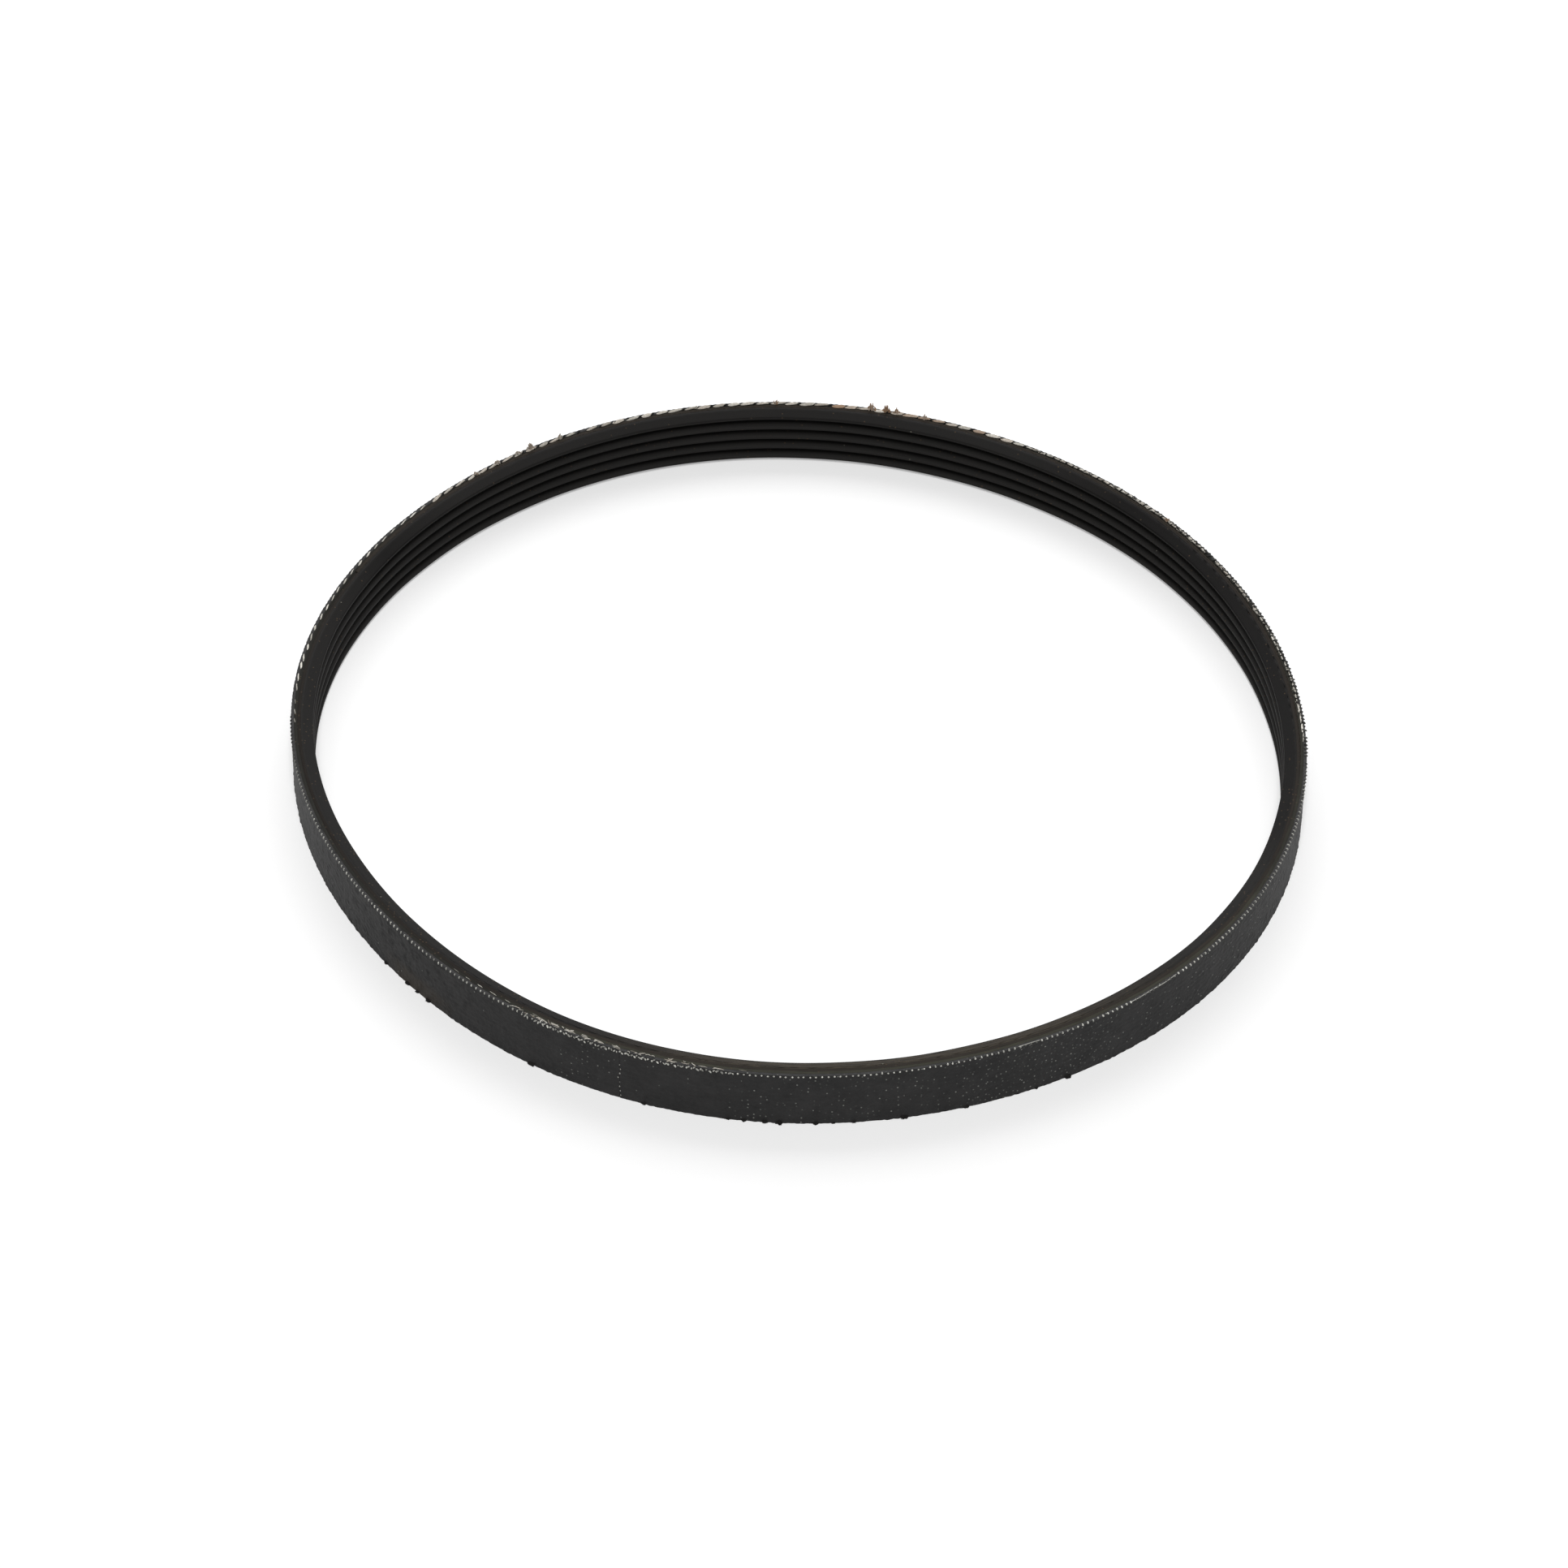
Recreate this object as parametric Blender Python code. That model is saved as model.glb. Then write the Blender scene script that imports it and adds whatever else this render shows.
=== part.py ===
"""V-ribbed drive belt with five ribs, lying on one cut edge as a relaxed loop.

The belt is laid up in layers, listed here from the outside in: a woven backing cloth with a butt
seam, an overcord gum ply, one tension cord wound as a helix, an undercord gum ply, and the ribbed
rubber that runs in the pulley grooves. A wide sleeve is laid up and cured in one go, then slit
into belts, so the first and last turns of the cord show in the two edges, cut lengthwise.

The origin is the middle of the loop on the surface that it lies on, and +Z is the loop's axis.
Every section is drawn as points of (depth, height): depth is measured inwards from the back of
the belt, and height upwards from the lower cut edge.
"""

import math

import bmesh
import bpy

MM = 0.001

# Ribs, with the pitch of the light-duty section that belt makers call PJ
RIB_COUNT = 5
RIB_PITCH = 2.34 * MM
RIB_HEIGHT = 2.0 * MM
FLANK_ANGLE = math.radians(20.0)
TIP_RADIUS = 0.2 * MM
ROOT_RADIUS = 0.2 * MM
EDGE_TRIM = 0.185 * MM  # what the slitting knife takes beyond the middle of the last groove

# Layers, from the back inwards
CLOTH_THICKNESS = 0.5 * MM
OVERCORD_COVER = 0.23 * MM  # gum between the cloth and the crown of the cord
CORD_DIAMETER = 0.75 * MM
UNDERCORD_COVER = 0.23 * MM  # gum between the cord and the ribbed rubber
RIB_BASE = 0.22 * MM  # ribbed rubber above the roots of the grooves
BOND_GAP = 0.02 * MM  # glue line between two layers, and round the cord

# Cord winding and cloth seam
CORD_SPACING = 1.3 * MM  # from one turn to the next
CORD_START_ANGLE = math.radians(202.5)  # where the cord's axis enters at the lower edge
SEAM_ANGLE = math.radians(251.4)
SEAM_WIDTH = 0.3 * MM

# Loop, a little out of round as it lies unloaded
BACK_LENGTH = 584.0 * MM  # round the outside of the belt
OVAL_RISE = 1.45 * MM
OVAL_ANGLE = math.radians(-58.3)
LOBE_RISE = 0.24 * MM  # a weak swelling in four places
LOBE_ANGLE = math.radians(-9.8)
RIPPLE_RISE = 0.24 * MM  # and another in five
RIPPLE_ANGLE = math.radians(-36.0)

# Facets
LOOP_STEPS = 48
CORD_SIDES = 6
TIP_STEPS = 2
ROOT_STEPS = 2
CUT_MARGIN = 1.0 * MM  # how far the uncut sleeve and the cutters reach past the cuts

# Sizes that follow
BELT_WIDTH = RIB_COUNT * RIB_PITCH - 2 * EDGE_TRIM
MEAN_RADIUS = BACK_LENGTH / math.tau
GUM_BACK_DEPTH = CLOTH_THICKNESS + BOND_GAP
CORD_DEPTH = GUM_BACK_DEPTH + OVERCORD_COVER + CORD_DIAMETER / 2
GUM_FACE_DEPTH = CORD_DEPTH + CORD_DIAMETER / 2 + UNDERCORD_COVER
RIB_BACK_DEPTH = GUM_FACE_DEPTH + BOND_GAP
ROOT_DEPTH = RIB_BACK_DEPTH + RIB_BASE
TIP_DEPTH = ROOT_DEPTH + RIB_HEIGHT


def out_of_round(angle):
    """How far the relaxed loop stands outside its mean circle at one angle."""
    oval = OVAL_RISE * math.cos(2 * (angle - OVAL_ANGLE))
    lobes = LOBE_RISE * math.cos(4 * (angle - LOBE_ANGLE))
    ripple = RIPPLE_RISE * math.cos(5 * (angle - RIPPLE_ANGLE))
    return oval + lobes + ripple


def place(outline, angle):
    """Points in space of a section of (depth, height) points at one angle of the loop."""
    back = MEAN_RADIUS + out_of_round(angle)
    across, along = math.cos(angle), math.sin(angle)
    return [((back - depth) * across, (back - depth) * along, height) for depth, height in outline]


def loop_angles():
    """The angles at which every layer has a row of points, so that facets of layers run alongside."""
    return [math.tau * step / LOOP_STEPS for step in range(LOOP_STEPS)]


def add_row(solid, outline, angle):
    """Add a section's points to a solid as one row."""
    return [solid.verts.new(point) for point in place(outline, angle)]


def skin(solid, row, beyond, outline_closed):
    """Lay a strip of faces between two rows of points."""
    first = 0 if outline_closed else 1
    for corner in range(first, min(len(row), len(beyond))):
        solid.faces.new((row[corner - 1], beyond[corner - 1], beyond[corner], row[corner]))


def wrap(solid, outline, outline_closed):
    """Carry one section round the whole loop."""
    rows = [add_row(solid, outline, angle) for angle in loop_angles()]
    for row, beyond in zip(rows, rows[1:] + rows[:1]):
        skin(solid, row, beyond, outline_closed)


def slit(solid):
    """Cut a wide sleeve at both edges of the belt, and face the cuts."""
    for height, outwards in ((0.0, -1.0), (BELT_WIDTH, 1.0)):
        everything = solid.verts[:] + solid.edges[:] + solid.faces[:]
        knife = {"plane_co": (0.0, 0.0, height), "plane_no": (0.0, 0.0, outwards)}
        cut_line = bmesh.ops.bisect_plane(solid, geom=everything, clear_outer=True, **knife)["geom_cut"]
        rim = [item for item in cut_line if isinstance(item, bmesh.types.BMEdge)]
        bmesh.ops.triangle_fill(solid, edges=rim, use_beauty=True)


def make_piece(name, solid, colour, roughness):
    """Turn a closed solid into a named object with a matt, non-metallic material of its own."""
    bmesh.ops.recalc_face_normals(solid, faces=solid.faces)
    mesh = bpy.data.meshes.new(name)
    solid.to_mesh(mesh)
    solid.free()
    mesh.shade_smooth()
    mesh.set_sharp_from_angle(angle=math.radians(32.0))
    material = bpy.data.materials.new(name)
    material.use_nodes = True
    surface = material.node_tree.nodes["Principled BSDF"]
    surface.inputs["Base Color"].default_value = (*colour, 1.0)
    surface.inputs["Roughness"].default_value = roughness
    surface.inputs["Metallic"].default_value = 0.0
    mesh.materials.append(material)
    piece = bpy.data.objects.new(name, mesh)
    bpy.context.scene.collection.objects.link(piece)
    return piece


def band(outer_depth, inner_depth, low, high):
    """Rectangular section between two depths and two heights."""
    return [(outer_depth, low), (inner_depth, low), (inner_depth, high), (outer_depth, high)]


def make_backing_cloth():
    """Rubbered woven cloth, wrapped once round the belt, its ends meeting in a butt seam."""
    layer = bmesh.new()
    wrap(layer, band(0.0, CLOTH_THICKNESS, 0.0, BELT_WIDTH), outline_closed=True)
    cloth = make_piece("backing_cloth", layer, (0.030, 0.031, 0.034), 0.75)

    block = bmesh.new()
    opening = band(-CUT_MARGIN, CLOTH_THICKNESS + CUT_MARGIN, -CUT_MARGIN, BELT_WIDTH + CUT_MARGIN)
    half_seam = SEAM_WIDTH / 2 / MEAN_RADIUS
    near_side = add_row(block, opening, SEAM_ANGLE - half_seam)
    far_side = add_row(block, opening, SEAM_ANGLE + half_seam)
    skin(block, near_side, far_side, outline_closed=True)
    block.faces.new(near_side)
    block.faces.new(far_side)
    seam = make_piece("seam_cutter", block, (0.5, 0.5, 0.5), 0.5)
    seam.hide_render = True
    seam.display_type = "WIRE"
    opened = cloth.modifiers.new("seam", "BOOLEAN")
    opened.operation = "DIFFERENCE"
    opened.object = seam


def cord_height(step):
    """Height of the cord's axis so many steps past the place where it enters at the lower edge."""
    return CORD_SPACING * step / LOOP_STEPS


def cord_start_step():
    """The row of the loop at which the cord enters."""
    return round(CORD_START_ANGLE / math.tau * LOOP_STEPS)


def cord_steps():
    """Steps along the cord, from below the lower edge to above the upper one."""
    steps_per_height = LOOP_STEPS / CORD_SPACING
    reach = math.ceil((CORD_DIAMETER + CUT_MARGIN) * steps_per_height)
    return range(-reach, math.ceil(BELT_WIDTH * steps_per_height) + reach)


def cord_angle(step):
    """Angle on the loop so many steps past the place where the cord enters."""
    return math.tau * (cord_start_step() + step) / LOOP_STEPS


def cord_section(radius, height):
    """Corners of a round section about the cord's axis, with a corner at its top and bottom."""
    corners = [math.tau * (side + 0.5) / CORD_SIDES for side in range(CORD_SIDES)]
    return [(CORD_DEPTH + radius * math.cos(turn), height + radius * math.sin(turn)) for turn in corners]


def make_tension_cord():
    """Twisted fibre cord that carries the pull, wound round and round at a steady rise."""
    cord = bmesh.new()
    sections = [(cord_section(CORD_DIAMETER / 2, cord_height(step)), cord_angle(step)) for step in cord_steps()]
    rows = [add_row(cord, section, angle) for section, angle in sections]
    for row, beyond in zip(rows, rows[1:]):
        skin(cord, row, beyond, outline_closed=True)
    slit(cord)
    make_piece("tension_cord", cord, (0.62, 0.59, 0.50), 0.85)


def least_cord_gap():
    """Clear space between one turn of the cord and the next, measured on the points of its axis."""
    axis = [place([(CORD_DEPTH, cord_height(step))], cord_angle(step))[0] for step in cord_steps()]
    half_turn = LOOP_STEPS // 2
    apart = (math.dist(here, there) for index, here in enumerate(axis) for there in axis[index + half_turn:])
    return min(apart) - CORD_DIAMETER


def channel_outline(side, first_height, turns):
    """Face of a gum ply with a half-round channel for each turn; side is -1 outside the cord, 1 inside."""
    radius = CORD_DIAMETER / 2 + BOND_GAP
    face = BOND_GAP / 2
    outline = []
    for turn in range(turns):
        middle = first_height + turn * CORD_SPACING
        section = [(side * (depth - CORD_DEPTH), height) for depth, height in cord_section(radius, middle)]
        below_face = sorted((point for point in section if point[0] > face), key=lambda point: point[1])
        mouth = radius - face * math.tan(math.pi / CORD_SIDES)
        rim = [(face, middle - mouth), *below_face, (face, middle + mouth)]
        outline += [(CORD_DEPTH + side * depth, height) for depth, height in rim]
    return outline


def make_gum_ply(name, side, flat_depth, colour):
    """Cushion rubber on one side of the cord: plain on its flat face, channelled on the other."""
    ply = bmesh.new()
    wrap(ply, [(flat_depth, -CUT_MARGIN), (flat_depth, BELT_WIDTH + CUT_MARGIN)], outline_closed=False)

    spare_turns = 2
    turns = math.ceil(BELT_WIDTH / CORD_SPACING) + 2 * spare_turns
    start = cord_start_step()
    rows = []
    for step in range(LOOP_STEPS):
        lowest = cord_height(step) - spare_turns * CORD_SPACING
        rows.append(add_row(ply, channel_outline(side, lowest, turns), math.tau * (start + step) / LOOP_STEPS))
    points_per_turn = len(rows[0]) // turns
    rows.append(rows[0][points_per_turn:])  # once round the loop, each channel meets the next one up
    for row, beyond in zip(rows, rows[1:]):
        skin(ply, row, beyond, outline_closed=False)
    slit(ply)
    make_piece(name, ply, colour, 0.7)


def groove_depth(offset):
    """Depth of the rubber's surface at one distance from the middle of a groove."""
    arc_width = ROOT_RADIUS * math.cos(FLANK_ANGLE)
    if offset < arc_width:
        return ROOT_DEPTH + ROOT_RADIUS - math.sqrt(ROOT_RADIUS ** 2 - offset ** 2)
    flank_start = ROOT_DEPTH + ROOT_RADIUS * (1 - math.sin(FLANK_ANGLE))
    return flank_start + (offset - arc_width) / math.tan(FLANK_ANGLE)


def rib_tip(middle):
    """Points over one rib's tip, with both corners rounded."""
    flank_start = ROOT_RADIUS * (1 - math.sin(FLANK_ANGLE))
    flank_run = (RIB_HEIGHT - flank_start) * math.tan(FLANK_ANGLE)
    half_land = RIB_PITCH / 2 - ROOT_RADIUS * math.cos(FLANK_ANGLE) - flank_run
    sweep = math.pi / 2 - FLANK_ANGLE
    centre = half_land - TIP_RADIUS * math.tan(sweep / 2)
    tilts = [sweep * step / TIP_STEPS for step in range(TIP_STEPS + 1)]
    upper = [(TIP_DEPTH - TIP_RADIUS * (1 - math.cos(tilt)), centre + TIP_RADIUS * math.sin(tilt)) for tilt in tilts]
    lower = [(depth, -height) for depth, height in reversed(upper)]
    return [(depth, middle + height) for depth, height in lower + upper]


def groove_root(middle):
    """Points round the root of one groove, from flank to flank."""
    sweep = math.pi / 2 - FLANK_ANGLE
    tilts = [sweep * (2 * step / ROOT_STEPS - 1) for step in range(ROOT_STEPS + 1)]
    centre = ROOT_DEPTH + ROOT_RADIUS
    return [(centre - ROOT_RADIUS * math.cos(tilt), middle + ROOT_RADIUS * math.sin(tilt)) for tilt in tilts]


def make_rib_rubber():
    """Compression rubber with the V ribs that wedge into the pulley grooves."""
    edge_depth = groove_depth(EDGE_TRIM)
    outline = [(RIB_BACK_DEPTH, BELT_WIDTH), (RIB_BACK_DEPTH, 0.0), (edge_depth, 0.0)]
    for rib in range(RIB_COUNT):
        groove_below = rib * RIB_PITCH - EDGE_TRIM
        if rib > 0:
            outline += groove_root(groove_below)
        outline += rib_tip(groove_below + RIB_PITCH / 2)
    outline.append((edge_depth, BELT_WIDTH))

    ribs = bmesh.new()
    wrap(ribs, outline, outline_closed=True)
    make_piece("rib_rubber", ribs, (0.012, 0.012, 0.012), 0.65)


def main():
    for leftover in list(bpy.data.objects):
        bpy.data.objects.remove(leftover, do_unlink=True)
    make_backing_cloth()
    make_gum_ply("overcord_gum", -1, GUM_BACK_DEPTH, (0.020, 0.020, 0.019))
    make_tension_cord()
    make_gum_ply("undercord_gum", 1, GUM_FACE_DEPTH, (0.022, 0.021, 0.019))
    make_rib_rubber()
    print(f"Least gap between cord turns: {least_cord_gap() / MM:.2f} mm")


main()
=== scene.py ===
"""Looks of a V-ribbed drive belt that lies on one cut edge as a relaxed loop.

Sizes are in millimetres, and turn into metres where a mesh is made. The loop's axis is +Z and its
middle on the floor is the origin. Depth is measured inwards from the belt's back, height upwards
from the lower cut edge, and run along the back from the +X axis.
"""

import math

import bmesh
import bpy
import numpy as np
from mathutils import Matrix, Vector


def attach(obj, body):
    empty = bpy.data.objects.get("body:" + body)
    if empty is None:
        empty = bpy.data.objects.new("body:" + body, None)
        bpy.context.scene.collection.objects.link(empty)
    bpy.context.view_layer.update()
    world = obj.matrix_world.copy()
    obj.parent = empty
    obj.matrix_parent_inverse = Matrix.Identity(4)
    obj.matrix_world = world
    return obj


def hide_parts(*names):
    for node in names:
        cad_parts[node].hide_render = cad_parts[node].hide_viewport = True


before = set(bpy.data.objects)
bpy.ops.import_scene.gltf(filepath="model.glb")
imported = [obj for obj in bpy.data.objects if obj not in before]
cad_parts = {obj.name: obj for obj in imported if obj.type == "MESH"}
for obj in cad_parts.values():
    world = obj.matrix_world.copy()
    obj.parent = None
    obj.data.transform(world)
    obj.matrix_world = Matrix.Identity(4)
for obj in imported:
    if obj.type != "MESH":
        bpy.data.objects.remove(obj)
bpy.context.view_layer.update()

# Ribbed rubber: the inner face of the belt, black carbon-filled synthetic rubber with five V ribs that
# wedge into the grooves of a pulley. The ribs are ground into a cured sleeve, and a knife then slits
# the sleeve into belts through the grooves, which leaves a narrow flat cut beside the outer ribs.

MM = 0.001
RIB_COUNT = 5
RIB_PITCH = 2.34
RIB_HEIGHT = 2.0
FLANK_ANGLE = math.radians(20.0)
TIP_RADIUS = 0.2
ROOT_RADIUS = 0.2
EDGE_TRIM = 0.185
RIB_BACK_DEPTH = 1.75
ROOT_DEPTH = 1.97
TIP_DEPTH = ROOT_DEPTH + RIB_HEIGHT
BELT_WIDTH = RIB_COUNT * RIB_PITCH - 2 * EDGE_TRIM
BACK_LENGTH = 584.0
OVAL_RISE = 1.45
OVAL_ANGLE = math.radians(-58.3)
LOBE_RISE = 0.24
LOBE_ANGLE = math.radians(-9.8)
RIPPLE_RISE = 0.24
RIPPLE_ANGLE = math.radians(-36.0)
RIB_STATIONS = 960
GRINDING_WAVER = 0.02
NICK_DEPTH = 0.3
TOP_FLANK_HEIGHT = 0.95
DUST_AND_SHEEN_DEPTH = 3.85
CUT_FACE_DEPTH = 2.05
FLECK_SPACING = 0.55


def back_radius(angle):
    """Distance of the belt's back from the loop's axis, a little out of round as the belt lies."""
    oval = OVAL_RISE * np.cos(2 * (angle - OVAL_ANGLE))
    lobes = LOBE_RISE * np.cos(4 * (angle - LOBE_ANGLE))
    ripple = RIPPLE_RISE * np.cos(5 * (angle - RIPPLE_ANGLE))
    return BACK_LENGTH / math.tau + oval + lobes + ripple


FINE_ANGLES = np.linspace(0.0, math.tau, 7201)
FINE_RADII = back_radius(FINE_ANGLES)
FINE_STEPS = np.hypot(np.diff(FINE_RADII), np.diff(FINE_ANGLES) * FINE_RADII[1:])
FINE_RUNS = np.concatenate(([0.0], np.cumsum(FINE_STEPS)))
LOOP_RUN = FINE_RUNS[-1]


def angle_at(run):
    """Angle on the loop at a distance along the belt's back, also past a full turn."""
    return np.interp(np.mod(run, LOOP_RUN), FINE_RUNS, FINE_ANGLES) + math.tau * np.floor(run / LOOP_RUN)


def run_at(degrees):
    """Distance along the belt's back of an angle in degrees."""
    return np.interp(np.mod(np.radians(degrees), math.tau), FINE_ANGLES, FINE_RUNS)


def on_belt(angle, depth, height):
    """Points in space, in millimetres, of places on the belt."""
    radius = back_radius(angle) - depth
    return np.stack(np.broadcast_arrays(radius * np.cos(angle), radius * np.sin(angle), height), axis=-1)


def waver(run, seed, wave, size):
    """Smooth unevenness along the loop: waves of about one length and size, which meet at the ends."""
    draw = np.random.default_rng(seed)
    total = np.zeros_like(run)
    for count in np.unique(np.round(LOOP_RUN / wave * np.linspace(0.5, 1.6, 14))):
        total += draw.normal() * np.cos(math.tau * count * run / LOOP_RUN + draw.uniform(0, math.tau))
    return total * size / 3.0


def within(degrees, start, end, blend=3.0):
    """1 inside a stretch of the loop between two angles, 0 outside it, with a short blend at each end."""
    middle = (np.asarray(degrees) - start) % 360
    return np.clip(middle / blend, 0, 1) * np.clip((end - start - middle) / blend, 0, 1)


def make_piece(name, points, faces, uvs, material):
    """Mesh object from points in millimetres, with coincident points joined, and a map named belt."""
    mesh = bpy.data.meshes.new(name)
    mesh.from_pydata((np.asarray(points, float).reshape(-1, 3) * MM).tolist(), [], faces)
    if uvs is not None:
        mesh.uv_layers.new(name="belt").data.foreach_set("uv", np.asarray(uvs, np.float32).ravel())
    solid = bmesh.new()
    solid.from_mesh(mesh)
    bmesh.ops.remove_doubles(solid, verts=solid.verts, dist=0.0002 * MM)
    bmesh.ops.recalc_face_normals(solid, faces=solid.faces)
    solid.to_mesh(mesh)
    solid.free()
    mesh.shade_smooth()
    mesh.set_sharp_from_angle(angle=math.radians(40.0))
    mesh.materials.append(material)
    piece = bpy.data.objects.new(name, mesh)
    bpy.context.scene.collection.objects.link(piece)
    return piece


def places_of(piece):
    """Angle in degrees, run, depth and height of each point of a piece's mesh."""
    points = np.zeros(3 * len(piece.data.vertices), np.float32)
    piece.data.vertices.foreach_get("co", points)
    x, y, height = points.reshape(-1, 3).astype(float).T / MM
    angle = np.arctan2(y, x) % math.tau
    run = np.interp(angle, FINE_ANGLES, FINE_RUNS)
    return np.degrees(angle), run, back_radius(angle) - np.hypot(x, y), height


def paint(piece, name, values):
    """Give each point of a piece's mesh a number that its material reads."""
    layer = piece.data.attributes.new(name, "FLOAT", "POINT")
    layer.data.foreach_set("value", np.asarray(values, np.float32))


def loft(rows, runs, across, capped=False):
    """Points, faces and map of closed outlines joined row by row; the ends may be capped."""
    stations, corners = rows.shape[:2]
    row, corner = np.meshgrid(np.arange(stations - 1), np.arange(corners), indexing="ij")
    beside = (corner + 1) % corners
    quads = np.stack([row * corners + corner, (row + 1) * corners + corner,
                      (row + 1) * corners + beside, row * corners + beside], axis=-1).reshape(-1, 4)
    run_here, run_next = runs[row], runs[row + 1]
    across_here, across_next = across[corner], across[corner + 1]
    uvs = np.stack([run_here, across_here, run_next, across_here,
                    run_next, across_next, run_here, across_next], axis=-1).reshape(-1, 2)
    faces = quads.tolist()
    if capped:
        first = list(range(corners))
        faces += [first, [(stations - 1) * corners + index for index in reversed(first)]]
        uvs = np.concatenate([uvs, np.zeros((2 * corners, 2))])
    return rows, faces, uvs


def outline_length(outline):
    """Distance round a closed outline at each of its points, ending with the whole way round."""
    steps = np.linalg.norm(np.diff(np.vstack([outline, outline[:1]]), axis=0), axis=1)
    return np.concatenate(([0.0], np.cumsum(steps)))


def linear(hex_code):
    """Linear colour of an sRGB hex value."""
    shares = [int(hex_code[first:first + 2], 16) / 255 for first in (1, 3, 5)]
    return (*(s / 12.92 if s <= 0.04045 else ((s + 0.055) / 1.055) ** 2.4 for s in shares), 1.0)


def add_node(tree, kind, inputs=None, **settings):
    """Add one shader node: settings are its own choices, inputs are values or the outputs that feed it."""
    made = tree.nodes.new("ShaderNode" + kind)
    for name, value in settings.items():
        setattr(made, name, value)
    for socket, value in (inputs or {}).items():
        if isinstance(value, bpy.types.NodeSocket):
            tree.links.new(value, made.inputs[socket])
        else:
            made.inputs[socket].default_value = value
    return made


def start_material(name, roughness, ior):
    """A new material: its node tree and its surface, a plain dielectric of one roughness and index."""
    material = bpy.data.materials.new(name)
    material.use_nodes = True
    surface = material.node_tree.nodes["Principled BSDF"]
    surface.inputs["Roughness"].default_value = roughness
    surface.inputs["IOR"].default_value = ior
    return material, material.node_tree, surface


def flecked(tree, colour):
    """Colour under a scatter of small brown flecks of dirt, as many as a piece's fleck number says."""
    place = add_node(tree, "TexCoord").outputs["Object"]
    cells = add_node(tree, "TexVoronoi", {"Vector": place, "Scale": 1 / (FLECK_SPACING * MM)})
    near = add_node(tree, "MapRange", {"Value": cells.outputs["Distance"],
                                       "From Min": 0.34, "From Max": 0.16})
    share = add_node(tree, "Attribute", attribute_name="fleck").outputs["Fac"]
    cell_draw = add_node(tree, "SeparateXYZ", {0: cells.outputs["Color"]})
    picked = add_node(tree, "Math", {0: cell_draw.outputs[0], 1: share}, operation="LESS_THAN")
    shown = add_node(tree, "Math", {0: near.outputs[0], 1: picked.outputs[0]}, operation="MULTIPLY")
    return add_node(tree, "Mix", {"Factor": shown.outputs[0], 6: colour, 7: linear("#453a2e")},
                    data_type="RGBA").outputs[2]


def paint_flecks(piece):
    """Flecks of dirt: most on the left and right of the loop."""
    degrees = places_of(piece)[0]
    paint(piece, "fleck", 0.04 + 0.16 * within(degrees, 165, 246, 12) + 0.1 * within(degrees, 318, 385, 12))


def rib_outline():
    """Outline of the rubber as (depth, height) points: lower cut, ribs, upper cut and back."""
    sweep = math.pi / 2 - FLANK_ANGLE
    root_half = ROOT_RADIUS * math.cos(FLANK_ANGLE)
    flank_start = ROOT_DEPTH + ROOT_RADIUS * (1 - math.sin(FLANK_ANGLE))
    half_land = RIB_PITCH / 2 - root_half - (TIP_DEPTH - flank_start) * math.tan(FLANK_ANGLE)
    tip_centre = half_land - TIP_RADIUS * math.tan(sweep / 2)
    edge_depth = ROOT_DEPTH + ROOT_RADIUS - math.sqrt(ROOT_RADIUS ** 2 - EDGE_TRIM ** 2)
    tilts = np.linspace(0.0, sweep, 6)
    corner_depths = TIP_DEPTH - TIP_RADIUS * (1 - np.cos(tilts))
    corner = np.stack([corner_depths, tip_centre + TIP_RADIUS * np.sin(tilts)], 1)
    flank = np.linspace(corner[-1], (flank_start, RIB_PITCH / 2 - root_half), 6)[1:-1]
    upper_half = np.vstack([corner, flank])
    rib = np.vstack([upper_half[::-1] * (1, -1), upper_half])
    tilts = np.linspace(-sweep, sweep, 9)
    root = np.stack([ROOT_DEPTH + ROOT_RADIUS * (1 - np.cos(tilts)), ROOT_RADIUS * np.sin(tilts)], 1)
    cut = np.linspace(RIB_BACK_DEPTH, edge_depth, 6)
    parts = [np.stack([cut, np.zeros(6)], 1)]
    for index in range(RIB_COUNT):
        groove = index * RIB_PITCH - EDGE_TRIM
        if index:
            parts.append(root + (0.0, groove))
        parts.append(rib + (0.0, groove + RIB_PITCH / 2))
    parts.append(np.stack([cut[::-1], np.full(6, BELT_WIDTH)], 1))
    parts.append(np.stack([np.full(4, RIB_BACK_DEPTH), np.linspace(BELT_WIDTH, 0.0, 6)[1:-1]], 1))
    return np.vstack(parts)


# Ground black rubber: matt, greyed by its own grinding dust, and with painted shade and light on the top
# rib that change round the loop; brown-grey where floor dust has been dragged along the top rib, with
# painted sheen along the front; a few pale specks of lint; painted shade in the nicks where the knife
# tore the upper groove.
rubber, tree, surface = start_material("ground_black_rubber", 0.6, 1.14)
place = add_node(tree, "TexCoord").outputs["Object"]
cloud = add_node(tree, "TexNoise", {"Vector": place, "Scale": 1 / (7.0 * MM), "Detail": 4.0})
black = add_node(tree, "Mix", {"Factor": cloud.outputs["Fac"], 6: linear("#0c0c0c"), 7: linear("#151312")},
                 data_type="RGBA")
# Chalk greys the ribs; on the top rib its amount is painted shade and light round the loop
chalk_and_shade = add_node(tree, "Attribute", attribute_name="chalk_and_shade").outputs["Fac"]
chalked_and_shaded = add_node(tree, "Mix", {"Factor": chalk_and_shade, 6: black.outputs[2], 7: linear("#272625")},
                  data_type="RGBA")
rubber_map = add_node(tree, "UVMap", uv_map="belt").outputs[0]
dragged = add_node(tree, "VectorMath", {0: rubber_map, 1: (1 / 5.0, 1 / 0.4, 0.0)}, operation="MULTIPLY")
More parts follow.
